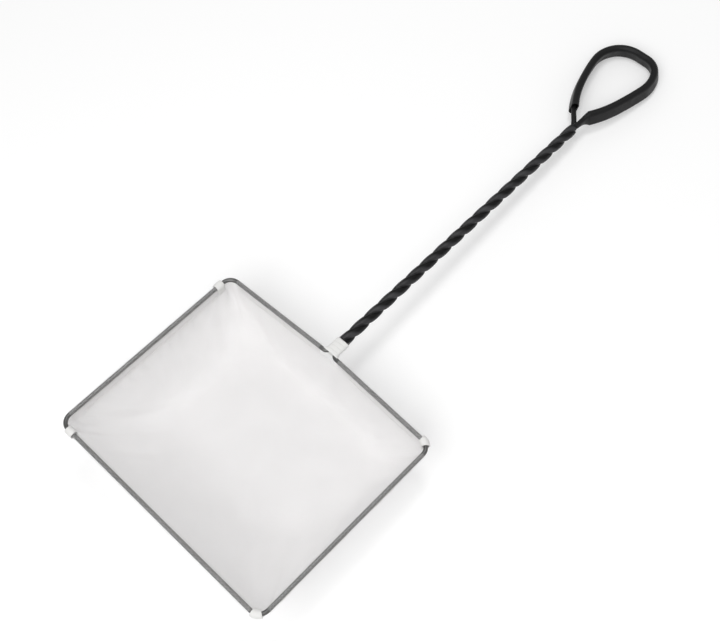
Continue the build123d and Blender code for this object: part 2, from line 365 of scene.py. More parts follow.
def drawn_steel():
    """Dull drawn wire with fine streaks and a few darker spots."""
    made = Finish("drawn_steel")
    base = bpy.context.scene.net_finishes.steel
    place = made.place()
    cloudy = made.grain(place, scale=160, detail=4)
    streaks = made.grain(place, scale=2600, detail=2)
    tone = made.work_out("MULTIPLY_ADD", cloudy, 0.75, 0.12)
    made.set(
        Base_Color=made.shades(tone, base, dark=0.62, light=1.35),
        Metallic=1.0,
        Roughness=made.span(cloudy, 0.28, 0.5, NOISE_RANGE),
        Normal=made.bump(streaks, strength=0.25, distance=0.00004),
    )
    return made.material


def dipped_vinyl(name, twisted):
    """Soft black coating with a faint orange peel; on the twisted handle one flank of each strand is painted paler as
    a painted highlight, the other darker as painted shade.
    """
    made = Finish(name)
    base = bpy.context.scene.net_finishes.vinyl
    place = made.place()
    peel = made.grain(place, scale=750, detail=2, rough=0.4)
    mottle = made.grain(place, scale=90, detail=5, rough=0.65)
    if twisted:
        # Painted highlight and shade: the flank of each strand that faces the hoop, where the front lamp lights it,
        # is painted up to nine times paler, the other flank darker; the mottle only varies how strong this is
        turn = made.add("ShaderNodeSeparateXYZ", Vector=made.cloth()).outputs[0]
        phase = made.work_out("MULTIPLY_ADD", turn, 2 * FULL_TURN, -math.pi / 2)
        flank = made.span(made.work_out("COSINE", phase), 0, 1, FLANK_RANGE)
        tone = made.work_out("MULTIPLY", flank, made.span(mottle, 0.45, 1, (0.35, 0.65)))
        dark, light = 0.6, 9
    else:
        tone = made.span(mottle, 0, 1, (0.38, 0.7))
        dark, light = 0.75, 1.7
    made.set(
        Base_Color=made.shades(tone, base, dark, light),
        Roughness=made.span(mottle, 0.34, 0.5, NOISE_RANGE),
        Specular_IOR_Level=0.22,
        Normal=made.bump(peel, strength=0.35, distance=0.0001),
    )
    return made.material


def flat_vinyl():
    """Satin black sleeve with soft wrinkles."""
    made = Finish("flat_vinyl")
    base = bpy.context.scene.net_finishes.sleeve
    place = made.place()
    wrinkle = made.grain(place, scale=210, detail=3, rough=0.5)
    fine = made.grain(place, scale=1500, detail=2, rough=0.5)
    height = made.work_out("MULTIPLY_ADD", fine, 0.15, wrinkle)
    made.set(
        Base_Color=made.shades(made.grain(place, scale=60, detail=4), base, dark=0.7, light=1.6),
        Roughness=made.span(wrinkle, 0.36, 0.55, NOISE_RANGE),
        Specular_IOR_Level=0.25,
        Normal=made.bump(height, strength=0.4, distance=0.0003),
    )
    return made.material


def soft_net(name, share):
    """Fine white mesh: threads round small open cells, denser here and there."""
    made = Finish(name)
    finishes = bpy.context.scene.net_finishes
    base, cloth = finishes.net, made.cloth()
    turned = made.add(
        "ShaderNodeMapping", Vector=cloth, Rotation=(0, 0, math.pi / 4), Scale=(1 / finishes.cell,) * 3
    ).outputs[0]
    edge = made.add(
        "ShaderNodeTexVoronoi", {"feature": "DISTANCE_TO_EDGE", "voronoi_dimensions": "2D"},
        Vector=turned, Scale=1.0, Randomness=0.3,
    ).outputs["Distance"]
    patchy = made.grain(cloth, scale=70, detail=3)
    reach = made.span(patchy, 0.46 * share, 0.54 * share, NOISE_RANGE)
    solid = made.add(
        "ShaderNodeMapRange", {"interpolation_type": "SMOOTHSTEP"}, Value=edge, To_Min=1.0, To_Max=0.0,
        From_Min=made.work_out("MULTIPLY", reach, 0.8), From_Max=made.work_out("MULTIPLY", reach, 1.2),
    ).outputs[0]
    made.set(
        Base_Color=made.shades(made.span(patchy, 0, 1, NOISE_RANGE), base, dark=0.98, light=1.02),
        Roughness=0.85,
        Specular_IOR_Level=0.25,
        Sheen_Weight=0.15,
        Sheen_Roughness=0.5,
        Normal=made.bump(solid, strength=0.5, distance=0.0002),
    )
    glow = made.add("ShaderNodeBsdfTranslucent", Color=(*shade_of(base, 1.05), 1))
    thread = made.add("ShaderNodeMixShader", _0=finishes.glow, _1=made.shader.outputs[0], _2=glow.outputs[0])
    gap = made.add("ShaderNodeBsdfTransparent")
    net = made.add("ShaderNodeMixShader", _0=solid, _1=gap.outputs[0], _2=thread.outputs[0])
    made.links.new(net.outputs[0], made.nodes["Material Output"].inputs["Surface"])
    return made.material


def woven_tape():
    """White plain-woven tape."""
    made = Finish("woven_tape")
    base = bpy.context.scene.net_finishes.tape
    cloth = made.cloth()
    bands = [
        made.add(
            "ShaderNodeTexWave", {"wave_type": "BANDS", "bands_direction": way, "wave_profile": "SIN"},
            Vector=cloth, Scale=620.0, Distortion=0.6, Detail=1.0,
        ).outputs["Fac"]
        for way in ("X", "Y")
    ]
    weave = made.work_out("MULTIPLY", *bands)
    tone = made.work_out("MULTIPLY", weave, made.grain(made.place(), scale=300, detail=3))
    made.set(
        Base_Color=made.shades(tone, base, dark=0.9, light=1.06),
        Roughness=0.8,
        Specular_IOR_Level=0.25,
        Sheen_Weight=0.2,
        Normal=made.bump(weave, strength=0.55, distance=0.00015),
    )
    return made.material


def sewing_thread():
    """White twisted thread."""
    made = Finish("sewing_thread")
    base = bpy.context.scene.net_finishes.thread
    ply = made.add(
        "ShaderNodeTexWave", {"wave_type": "BANDS", "bands_direction": "DIAGONAL"},
        Vector=made.cloth(), Scale=900.0, Distortion=0.3,
    ).outputs["Fac"]
    made.set(
        Base_Color=made.shades(ply, base, dark=0.86, light=1.05),
        Roughness=0.6,
        Sheen_Weight=0.3,
        Normal=made.bump(ply, strength=0.5, distance=0.0001),
    )
    return made.material


def finish_of(name, maker, *args):
    """A finish by name, made the first time it is asked for."""
    return bpy.data.materials.get(name) or maker(*args)


def paint(nodes, finish):
    """Gives CAD nodes a finish."""
    for node in nodes:
        slots = frame["nodes"][node].data.materials
        slots.clear()
        slots.append(finish)


# The bag's surface. Lengths are in metres; a drop is 0 at the hem and 1 at the floor; noise is a size and a seed.

PANELS = ("front", "right", "back", "left")
HALF_BEND_POINTS, LONG_POINTS, SHORT_POINTS = 10, 52, 42
WALL_DROPS = np.concatenate([np.linspace(0, 1, 46), np.linspace(1, 1.3, 10)[1:]])
FLOOR_RINGS = np.linspace(1, 0.03, 17)[1:]  # shares of the floor's outline
HEM_LAP = 0.0022  # bag sewn up into the hem's tail
FLOOR_SOFTNESS = 0.09  # drop over which a wall turns into the floor
LARGEST_BEND = 0.47  # share of a ring's shorter side
SHAPED_BY, SHAPED_TO, SHAPED_FADE = 0.12, 1.25, 0.35  # drops where folds and billow are full, end, and how they fade
FOLD_REACH, FOLD_WAVE = 0.019, 0.0125
FOLD_EVEN, FOLD_UNEVEN = 0.75, 0.5  # shares of a fold's height
RIPPLE_SHARE = 0.4  # of the billow's height
PUCKER_WAVE, PUCKER_SWING, PUCKER_DROP, PUCKER_SPAN = 0.0085, 3, 0.16, 0.13
PUCKER_FADE = 8  # columns from a corner
RIM_GAP = 0.0003  # between the corners' raised rim and the wire
RIM_COLUMNS, RIM_FADE, RIM_DROP = 12.5, 4, 0.3  # columns from a corner, and the drop, that the raised rim takes up
WRINKLE, CREASE = 0.00045, 0.0002  # heights on the floor
REST_LEVEL, FLOOR_LEVEL = 0.004, 0.0004  # where the floor's wrinkles start, and its lowest points
FOLD_NOISE, BILLOW_NOISE, RIPPLE_NOISE = (0.05, 2), (0.034, 5), (0.015, 6)
PUCKER_NOISE, WRINKLE_NOISE, CREASE_NOISE = (0.03, 8), (0.026, 11), (0.009, 12)


def hem_hang():
    """How far the bag's top is below the wire along the hem's tail."""
    sizes = bpy.context.scene.net_sizes
    return sizes.hem_radius + sizes.hem_tail - HEM_LAP


def wall_row(drop):
    """Row of the bag nearest to a drop."""
    return int(np.argmin(np.abs(WALL_DROPS - drop)))


def bend(centre, radius, start, end):
    """Points on an arc from one angle to another, without the last."""
    angles = np.radians(np.linspace(start, end, HALF_BEND_POINTS, endpoint=False))
    return [(centre[0] + radius * math.cos(a), centre[1] + radius * math.sin(a)) for a in angles]


def run(start, end, count):
    """Points on a line, without the last."""
    share = np.linspace(0, 1, count, endpoint=False)[:, None]
    return [tuple(p) for p in np.array(start) * (1 - share) + np.array(end) * share]


def corner_arc(spot, radius, start, end):
    """Bend inside a corner: its first half, its second half and its last point."""
    one, other = math.radians(start), math.radians(end)
    total = np.array([math.cos(one) + math.cos(other), math.sin(one) + math.sin(other)])
    centre = np.array(spot) - total * radius / (1 + math.cos(other - one))
    middle = (start + end) / 2
    last = tuple(centre + radius * np.array([math.cos(other), math.sin(other)]))
    return bend(centre, radius, start, middle), bend(centre, radius, middle, end), last


def ring_panels(half, front, back, rise, radius, slack):
    """Points of a ring in the hoop's plane for each panel, from corner to corner; slack is the front right bend."""
    slope = math.degrees(math.atan(rise))
    limit = LARGEST_BEND * min(2 * half, back - front)
    radius, slack = min(radius, limit), min(slack, limit)
    front_right = corner_arc((half, front), slack, 270, 360)
    back_right = corner_arc((half, back), radius, 0, 90 - slope)
    back_left = corner_arc((-half, back), radius, 90 + slope, 180)
    front_left = corner_arc((-half, front), radius, 180, 270)
    peak, to_peak = (0.0, back + half * rise), LONG_POINTS // 2
    back_run = run(back_right[2], peak, to_peak) + run(peak, back_left[0][0], to_peak)
    return {
        "front": front_left[1] + run(front_left[2], front_right[0][0], LONG_POINTS) + front_right[0],
        "right": front_right[1] + run(front_right[2], back_right[0][0], SHORT_POINTS) + back_right[0],
        "back": back_right[1] + back_run + back_left[0],
        "left": back_left[1] + run(back_left[2], front_left[0][0], SHORT_POINTS) + front_left[0],
    }


def bag_ring(drop):
    """One ring of the bag in the table's frame, and how many of its points each panel has."""
    sizes = bpy.context.scene.net_sizes
    hang = hem_hang()
    top_inset, below = hang * math.sin(sizes.hem_lean), hang * math.cos(sizes.hem_lean)
    settled = drop - FLOOR_SOFTNESS * math.log1p(math.exp((drop - 1) / FLOOR_SOFTNESS))
    fall = 1 - settled
    sag = drop * drop
    capped = min(sag, 1)

    def inset(at_floor):
        return top_inset + (at_floor - top_inset) * sag

    rise = sizes.peak / (hoop_half() - sizes.neck_half) * (1 - capped)
    half = hoop_half() - inset(sizes.side_inset)
    front = inset(sizes.front_inset) - sizes.depth
    back = inset(sizes.side_inset) * rise - inset(sizes.back_inset) / math.cos(math.atan(rise))
    radius = sizes.corner - top_inset + (sizes.floor_corner - sizes.corner + top_inset) * capped
    flat = ring_panels(half, front, back, rise, radius, radius + sizes.slack_corner * capped)
    ring = np.array([spot for panel in PANELS for spot in flat[panel]])
    place = hoop_place().translation
    tilt = hoop_lean * fall
    points = np.empty((len(ring), 3))
    points[:, 0] = ring[:, 0]
    points[:, 1] = place.y - below * math.sin(hoop_lean) * fall + ring[:, 1] * math.cos(tilt)
    points[:, 2] = (place.z - below * math.cos(hoop_lean)) * fall - ring[:, 1] * math.sin(tilt)
    return points, [len(flat[panel]) for panel in PANELS]


def surface_normals(grid):
    """Unit normals of a grid whose rows are closed rings, out of the bag."""
    down = np.gradient(grid, axis=0)
    wide = np.concatenate([grid[:, -1:], grid, grid[:, :1]], axis=1)
    round_it = (wide[:, 2:] - wide[:, :-2]) / 2
    normal = np.cross(down, round_it)
    return normal / np.maximum(np.linalg.norm(normal, axis=-1), 1e-12)[..., None]


def corner_gaps(grid, starts):
    """Distance of each point along its ring from the nearest corner."""
    gap = np.empty(grid.shape[:2])
    for row, ring in enumerate(grid):
        along = steps_along(np.concatenate([ring, ring[:1]]))
        gap[row] = np.min(np.abs(along[:-1, None] - along[starts]), axis=1)
    return gap


def bag_surface():
    """Rings of the soft bag from the hem to near the floor's middle, and the panels' first columns."""
    sizes = bpy.context.scene.net_sizes
    made = [bag_ring(drop) for drop in WALL_DROPS]
    grid = np.array([points for points, _ in made])
    starts = np.concatenate([[0], np.cumsum(made[0][1])])
    normal = surface_normals(grid)
    gap = corner_gaps(grid, starts)
    from_corner = np.min(np.abs(np.arange(grid.shape[1])[:, None] - starts), axis=1)
    drop = WALL_DROPS[:, None]

    hold = np.clip(drop / SHAPED_BY, 0, 1) * np.clip((SHAPED_TO - drop) / SHAPED_FADE, 0, 1)
    folds = sizes.fold * np.exp(-((gap / FOLD_REACH) ** 2)) * np.cos(FULL_TURN * gap / FOLD_WAVE) * hold
    folds *= FOLD_EVEN + FOLD_UNEVEN * waves(grid, *FOLD_NOISE)
    billow = sizes.billow * (waves(grid, *BILLOW_NOISE) + RIPPLE_SHARE * waves(grid, *RIPPLE_NOISE)) * hold
    swing = PUCKER_SWING * waves(grid, *PUCKER_NOISE)
    pucker = sizes.pucker * np.sin(FULL_TURN * gap / PUCKER_WAVE + swing)
    pucker *= np.exp(-((drop - PUCKER_DROP) / PUCKER_SPAN) ** 2) * np.clip(from_corner / PUCKER_FADE, 0, 1)
    grid = grid + normal * (folds + billow + pucker)[..., None]

    lift = hem_hang() - sizes.wire / 2 - RIM_GAP
    near = ease(np.clip((RIM_COLUMNS - from_corner) / RIM_FADE, 0, 1))
    rim = lift * near[None] * np.clip(1 - drop / RIM_DROP, 0, 1) ** 2
    upward = np.array(hoop_normal) * math.cos(sizes.hem_lean) + normal * math.sin(sizes.hem_lean)
    grid += upward * rim[..., None]

    centre = grid[-1].mean(axis=0)
    inner = [centre + (grid[-1] - centre) * share for share in FLOOR_RINGS]
    grid = np.concatenate([grid, np.array(inner)])
    wrinkle = WRINKLE * (0.5 + 0.5 * waves(grid, *WRINKLE_NOISE))
    wrinkle += CREASE * (0.5 + 0.5 * waves(grid, *CREASE_NOISE))
    rest = np.clip((REST_LEVEL - grid[..., 2]) / REST_LEVEL, 0, 1)
    grid[..., 2] = np.maximum(grid[..., 2], FLOOR_LEVEL) + wrinkle * rest
    return grid, starts


# Own meshes for the bag's cloth and seams


def collapse(cloth):
    """Gives the cloth its own copy of its mesh; nothing here flattens it or folds it against the hoop."""
    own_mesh(cloth)


# The hoop's sides


def hoop_sides():
    """Each straight side: its start and end corner in the hoop's plane, and how far the hem stays off them."""
    sizes = bpy.context.scene.net_sizes
    half, depth, corner, gap = hoop_half(), sizes.depth, sizes.corner, sizes.neck_gap
    front_left, front_right = np.array([-half, -depth, 0]), np.array([half, -depth, 0])
    back_left, back_right = np.array([-half, 0, 0]), np.array([half, 0, 0])
    neck_left = np.array([-sizes.neck_half, sizes.peak, 0])
    neck_right = np.array([sizes.neck_half, sizes.peak, 0])
    return {
        "front": (front_left, front_right, corner, corner),
        "right": (front_right, back_right, corner, corner),
        "back_right": (back_right, neck_right, corner, gap),
        "back_left": (neck_left, back_left, gap, corner),
        "left": (back_left, front_left, corner, corner),
    }


def beside(side):
    """Directions along a side and into the hoop, and the side's length."""
    along = side[1] - side[0]
    size = np.linalg.norm(along)
    along = along / size
    return along, np.array([-along[1], along[0], 0.0]), size


def leaned(inward, below):
    """How far into the hoop and above the wire a point of the hem's section is, with the hem's lean."""
    lean = bpy.context.scene.net_sizes.hem_lean
    return inward * math.cos(lean) + below * math.sin(lean), inward * math.sin(lean) - below * math.cos(lean)


def hung(side, distance, inward, below):
    """Point of the hem's section in the hoop's plane, at a distance along a side."""
    along, inner, _ = beside(side)
    into, above = leaned(inward, below)
    return side[0] + along * distance + inner * into + UP * above


def folded(radius, leg, low, bends, tails):
    """Line of cloth folded over the wire: up one leg, round the wire and down the other, as inward and below."""
    join = math.degrees(math.asin(leg / radius))
    angles = np.radians(np.linspace(-90 + join, 270 - join, bends))
    line = [(leg, depth) for depth in np.linspace(low, radius, tails, endpoint=False)]
    line += [(radius * math.cos(a), -radius * math.sin(a)) for a in angles]
    return line + [(-leg, depth) for depth in np.linspace(radius, low, tails + 1)[1:]]


# Operators

FLOOR_HALF = 4.0
FLOOR_FAR, FAR_WHITE = (0.4, 1.3), 0.7  # distances over which the floor's added white grows, and to how much
KEY_LAMP = (0.9, (0, -0.06, 0), (0.26, -0.55, 1.0))  # size, point of the hoop's plane it looks at, way from there
TOP_LAMP = (0.3, (0, 0.11, 0), (-0.07, 0.19, 1.1))


class PieceOperator:
    """What the net's operators share."""

    bl_options = {"REGISTER", "UNDO"}


class HANDNET_OT_studio(PieceOperator, bpy.types.Operator):
    """Pale floor, soft light and the camera"""

    bl_idname = "handnet.studio"
    bl_label = "Studio"

    def execute(self, context):
        scene, studio = context.scene, context.scene.net_studio
        scene.view_settings.view_transform = "Standard"
        self.floor(studio)
        self.light(scene, studio)
        camera = bpy.data.objects.new("camera", bpy.data.cameras.new("camera"))
        camera.data.lens = studio.lens
        camera.data.clip_start = 0.01
        turn = Euler(studio.camera_turn).to_matrix().to_4x4()
        camera.matrix_world = hoop_place() @ Matrix.Translation(studio.camera_place) @ turn
        scene.collection.objects.link(camera)
        scene.camera = camera
        return {"FINISHED"}

    def floor(self, studio):
        """Wide floor that takes the net's shadow and looks white to the camera."""
        half = FLOOR_HALF
        corners = [(-half, -half, 0), (half, -half, 0), (half, half, 0), (-half, half, 0)]
        made = Finish("pale_floor")
        path = made.add("ShaderNodeLightPath").outputs
        direct = made.work_out("MAXIMUM", path["Is Camera Ray"], path["Is Glossy Ray"])
        seen = made.work_out("MAXIMUM", direct, path["Is Transmission Ray"])
        away = made.add("ShaderNodeVectorMath", {"operation": "LENGTH"}, _0=made.place()).outputs["Value"]
        white = made.span(away, studio.glow, FAR_WHITE, FLOOR_FAR)
        made.set(
            Base_Color=(*studio.floor, 1),
            Roughness=1.0,
            Specular_IOR_Level=0.0,
            Emission_Color=(1, 1, 1, 1),
            Emission_Strength=made.work_out("MULTIPLY", seen, white),
        )
        piece("floor", corners, [(0, 1, 2, 3)], made.material)

    def light(self, scene, studio):
        """Even room light, white where the camera sees it, and two soft lamps."""
        world = bpy.data.worlds.new("studio")
        world.use_nodes = True
        nodes, links = world.node_tree.nodes, world.node_tree.links
        even = nodes["Background"]
        even.inputs["Strength"].default_value = studio.room
        white = nodes.new("ShaderNodeBackground")
        for background in (even, white):
            background.inputs["Color"].default_value = (1, 1, 1, 1)
        path = nodes.new("ShaderNodeLightPath")
        pick = nodes.new("ShaderNodeMixShader")
        links.new(path.outputs["Is Camera Ray"], pick.inputs[0])
        links.new(even.outputs[0], pick.inputs[1])
        links.new(white.outputs[0], pick.inputs[2])
        links.new(pick.outputs[0], nodes["World Output"].inputs[0])
        scene.world = world
        self.lamp(scene, "key", studio.key, *KEY_LAMP)
        self.lamp(scene, "top", studio.top, *TOP_LAMP)

    def lamp(self, scene, name, energy, size, aim, away):
        """Square lamp that looks at a point of the hoop's plane from some way off."""
        lamp = bpy.data.objects.new(name, bpy.data.lights.new(name, "AREA"))
        lamp.data.energy = energy
        lamp.data.size = size
        aim, away = hoop_place() @ Vector(aim), Vector(away)
        lamp.location = aim + away
        lamp.rotation_euler = (-away).to_track_quat("-Z", "Y").to_euler()
        scene.collection.objects.link(lamp)


class HANDNET_OT_wire(PieceOperator, bpy.types.Operator):
    """Bare steel on the hoop and on the wires inside handle and loop"""

    bl_idname = "handnet.wire"
    bl_label = "Wire"

    def execute(self, context):
        wires = ("hoop_wire", "strand_wire_left", "strand_wire_right", "loop_wire")
        paint(wires, finish_of("drawn_steel", drawn_steel))
        return {"FINISHED"}


COAT_START, COAT_END, COAT_TURNS = 0.0135, 0.2090, 8.75  # along the handle from the hoop's back side
COAT_LIP, LIP_SHARE = 0.0015, 0.82  # length of the rounded start, and its size at the very edge
COAT_SIDES, COAT_ROWS, LIP_ROWS = 64, 560, 8
GROOVE_WIDTH = 0.32  # cosine of the angle round a section


class HANDNET_OT_handle(PieceOperator, bpy.types.Operator):
    """Dipped coating that fills the grooves of the twisted handle"""

    bl_idname = "handnet.handle"
    bl_label = "Handle"

    def execute(self, context):
        sizes = context.scene.net_sizes
        full = COAT_START + COAT_LIP
        along = np.concatenate([np.linspace(COAT_START, full, LIP_ROWS), np.linspace(full, COAT_END, COAT_ROWS)[1:]])
        angle = round_angles(COAT_SIDES)
        cosine, sine = np.cos(angle), np.sin(angle)
        reach = 1 / np.sqrt((cosine / (sizes.coat_wide / 2)) ** 2 + (sine / (sizes.coat_narrow / 2)) ** 2)
        reach -= sizes.groove * np.exp(-((np.abs(cosine) / GROOVE_WIDTH) ** 2))
        rows = []
        for y in along:
            turn = FULL_TURN * COAT_TURNS * (y - COAT_START) / (COAT_END - COAT_START)
            lip = math.sqrt(max(0.0, 1 - (max(0.0, full - y) / COAT_LIP) ** 2))
            size = reach * (LIP_SHARE + (1 - LIP_SHARE) * lip)
            a, b = size * cosine, size * sine
            x = -a * math.cos(turn) + b * math.sin(turn)
            z = a * math.sin(turn) + b * math.cos(turn)
            rows.append(np.stack([x, np.full(COAT_SIDES, y), z], -1))
        points = from_hoop(np.array(rows).reshape(-1, 3))
        faces = tube_faces(len(along), COAT_SIDES)
        spots = tube_map(len(along), COAT_SIDES, np.arange(COAT_SIDES + 1) / COAT_SIDES, along)
        finish = finish_of("twisted_vinyl", dipped_vinyl, "twisted_vinyl", True)
        coat = piece("handle_coat", points, faces, finish, spots)
        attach(coat, "net_frame")
        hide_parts("strand_coating_left", "strand_coating_right")
        return {"FINISHED"}


# The sleeve's drawn end: places and ways in the hoop's plane, half widths and half thicknesses at both ends
DRAWN_TOP, DRAWN_TOP_WAY = np.array([0.00192, 0.22168, 0.0]), np.array([-0.5225, -0.8526, 0.0])
DRAWN_ROOT, DRAWN_ROOT_WAY = np.array([0.0, COAT_END, 0.0017]), np.array([-0.43, -0.90, 0.0])
DRAWN_LEAN = math.radians(11.4)  # of the flat sleeve at the top
DRAWN_WIDE, DRAWN_NARROW = 0.00482, 0.0019
DRAWN_THICK, DRAWN_THIN = 0.00222, 0.0018
DRAWN_SHARES = np.linspace(-0.04, 0.86, 26)  # of the way from top to root; it starts inside the sleeve
DRAWN_NARROWED = 0.72  # share of the way by which it is narrow
DRAWN_FLATNESS = 2.5
DRAWN_SIDES = 28


class HANDNET_OT_loop(PieceOperator, bpy.types.Operator):
    """Coated wire and flat sleeve of the hanging loop"""

    bl_idname = "handnet.loop"
    bl_label = "Hanging loop"

    def execute(self, context):
        paint(("loop_coating",), finish_of("dipped_vinyl", dipped_vinyl, "dipped_vinyl", False))
        finish = finish_of("flat_vinyl", flat_vinyl)
        paint(("loop_sleeve",), finish)
        self.drawn_end(finish)
        return {"FINISHED"}

    def drawn_end(self, finish):
        """The sleeve's right end, drawn narrow over the leg towards the loop's root."""
        rows = [self.drawn_ring(share) for share in DRAWN_SHARES]
        points = from_hoop(np.array(rows).reshape(-1, 3))
        end = piece("sleeve_end", points, tube_faces(len(rows), DRAWN_SIDES), finish)
        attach(end, "net_frame")
        return end

    def drawn_ring(self, share):
        """Ring of the drawn end at a share of its way, on a curve that starts and ends along the two ways."""
        s, before = max(0.0, share), min(0.0, share)
        chord = np.linalg.norm(DRAWN_ROOT - DRAWN_TOP)
        swing = (s * (1 - s) ** 2 + before) * DRAWN_TOP_WAY - s * s * (1 - s) * DRAWN_ROOT_WAY
        spot = (1 - ease(s)) * DRAWN_TOP + ease(s) * DRAWN_ROOT + chord * swing
        wide = (min(1.0, s / DRAWN_NARROWED) - 1) ** 2
        half = DRAWN_NARROW + (DRAWN_WIDE - DRAWN_NARROW) * wide
        thick = DRAWN_THIN + (DRAWN_THICK - DRAWN_THIN) * wide
        across = np.cross(UP, DRAWN_ROOT_WAY * s + DRAWN_TOP_WAY * (1 - s))
        across /= np.linalg.norm(across)
        lean = DRAWN_LEAN * (1 - s)
        side, up = across * math.cos(lean) + UP * math.sin(lean), UP * math.cos(lean) - across * math.sin(lean)
        angle = round_angles(DRAWN_SIDES)[:, None]
        height = thick * np.sin(angle) + (half - thick) * np.tanh(DRAWN_FLATNESS * np.sin(angle))
        return spot + side * thick * np.cos(angle) + up * height


class HANDNET_OT_bag(PieceOperator, bpy.types.Operator):
    """Soft mesh bag: one cloth that sags from the hem to its floor"""

    bl_idname = "handnet.bag"
    bl_label = "Bag"

    def execute(self, context):
        finishes = context.scene.net_finishes
        grid, starts = bag_surface()
        rows, columns = grid.shape[:2]
        faces = grid_faces(rows, columns, True)
        spots = self.cloth_map(grid, starts)
        base = (rows - 1) * columns
        middle = grid[-1].mean(axis=0)
        for column in range(columns):
            after = (column + 1) % columns
            faces.append((base + column, base + after, base + columns))
            spots += [tuple(grid[-1, column, :2]), tuple(grid[-1, after, :2]), tuple(middle[:2])]
        points = np.concatenate([grid.reshape(-1, 3), middle[None]])
        bag = piece("bag", points, faces, finish_of("bag_net", soft_net, "bag_net", finishes.bag_share), spots)
        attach(bag, "net_frame")
        collapse(bag)
        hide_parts("bag_front", "bag_back", "bag_left", "bag_right", "bag_floor")
        return {"FINISHED"}

    def area(self, bag):
        """Area of the cloth, which hangs without stretch."""
        return sum(face.area for face in bag.data.polygons)

    def cut(self, grid):
        """Width and length of the cross that the cloth is cut to: the floor with the four walls laid out."""
        columns = grid.shape[1]
        x, y = grid[0, :, 0], grid[0, :, 1]
        front = np.argmin(np.abs(x) + (y > y.mean()))
        right = np.argmin(np.abs(y - y.mean()) + (x < 0))
        return tuple(
            steps_along(grid[:, column])[-1] + steps_along(grid[:, (column + columns // 2) % columns])[-1]
            for column in (right, front)
        )

    def cloth_map(self, grid, starts):
        """Cloth coordinates: each wall measured from its own middle, the floor as it lies."""
        rows, columns = grid.shape[:2]
        floor_row = wall_row(1)
        walls = {}
        for wall, (first, last) in enumerate(zip(starts, starts[1:])):
            picked = [column % columns for column in range(first, last + 1)]
            middle = (first + last) // 2
            down = steps_along(grid[: floor_row + 1, middle])
            for row in range(floor_row + 1):
                along = steps_along(grid[row, picked])
                along -= along[middle - first]
                for step, distance in enumerate(along):
                    walls[wall, row, first + step] = (distance, -down[row])
        wall_of = np.searchsorted(starts, np.arange(columns), side="right") - 1
        spots = []
        for row in range(rows - 1):
            for column in range(columns):
                corners = ((row, column), (row, column + 1), (row + 1, column + 1), (row + 1, column))
                if row < floor_row:
                    spots += [walls[wall_of[column], r, c] for r, c in corners]
                else:
                    spots += [tuple(grid[r, c % columns, :2]) for r, c in corners]
        return spots


HEM_PLY = 0.00022  # half the distance between the tail's two layers
HEM_BENDS, HEM_TAILS = 26, 7  # points round the wire and down each tail
HEM_STEP, FEWEST_ROWS = 0.0016, 12
SWELL, SWELL_SIZE = 0.00012, 0.006  # unevenness round the wire
SWAY, SWAY_SIZE = 0.00022, 0.007  # unevenness of the tail
HEM_SEED = 5.3


class HANDNET_OT_hems(PieceOperator, bpy.types.Operator):
    """See-through hem round the wire on each straight side"""

    bl_idname = "handnet.hems"
    bl_label = "Hems"

    def execute(self, context):
        finishes = context.scene.net_finishes
        drawn = finish_of("hem_net", soft_net, "hem_net", finishes.hem_share)
        slack = finish_of("bag_net", soft_net, "bag_net", finishes.bag_share)
        for number, (name, side) in enumerate(hoop_sides().items()):
            hem = self.casing(f"hem_cloth_{name}", side, number, drawn, slack)
            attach(hem, "net_frame")
            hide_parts(f"hem_{name}")
        return {"FINISHED"}

    def casing(self, name, side, number, drawn, slack):
        """Cloth folded over the wire, its two layers meeting in a tail."""
        sizes = bpy.context.scene.net_sizes
        radius, tail, size = sizes.hem_radius, sizes.hem_tail, beside(side)[2]
        section = folded(radius, HEM_PLY, radius + tail, HEM_BENDS, HEM_TAILS)
        count = max(FEWEST_ROWS, int((size - side[2] - side[3]) / HEM_STEP))
        distances = np.linspace(side[2], size - side[3], count)
        rows = []
        for distance in distances:
            wave = SWELL * stray(distance / SWELL_SIZE, number * HEM_SEED, 0)
            sway = SWAY * stray(distance / SWAY_SIZE, number * HEM_SEED, 9)
            row = []
            for inward, below in section:
                loose = min(1.0, max(0.0, (below - radius) / tail))
                swell = 1 + wave / radius * (1 - loose)
                row.append(hung(side, distance, inward * swell + sway * loose, below * (swell if loose == 0 else 1)))
            rows.append(row)
        grid = np.array(rows)
        across = steps_along(grid[len(grid) // 2])
        faces = grid_faces(len(rows), len(section), False)
        spots = grid_map(len(rows), len(section), False, across, distances)
        hem = piece(name, from_hoop(grid.reshape(-1, 3)), faces, drawn, spots)
        hem.data.materials.append(slack)
        strips = range(len(section) - 1)
        tails = [strip < HEM_TAILS or strip > len(section) - HEM_TAILS - 2 for strip in strips]
        hem.data.polygons.foreach_set("material_index", np.array(tails * (len(rows) - 1), np.int32))
        return hem


STITCH_RINGS, STITCH_SIDES = 7, 6
STITCH_MARGIN = 0.001  # between a corner tab and the nearest stitch
STITCH_OFF, STITCH_ARCH = 0.00028, 0.00022  # off the hem's middle at a stitch's ends, and more at its middle
STITCH_STRAY, STITCH_STRAY_SIZE, STITCH_SEED = 0.00012, 0.003, 3.1
STITCH_FULL, STITCH_LEAST = 1.03, 0.02  # how blunt a stitch's ends are


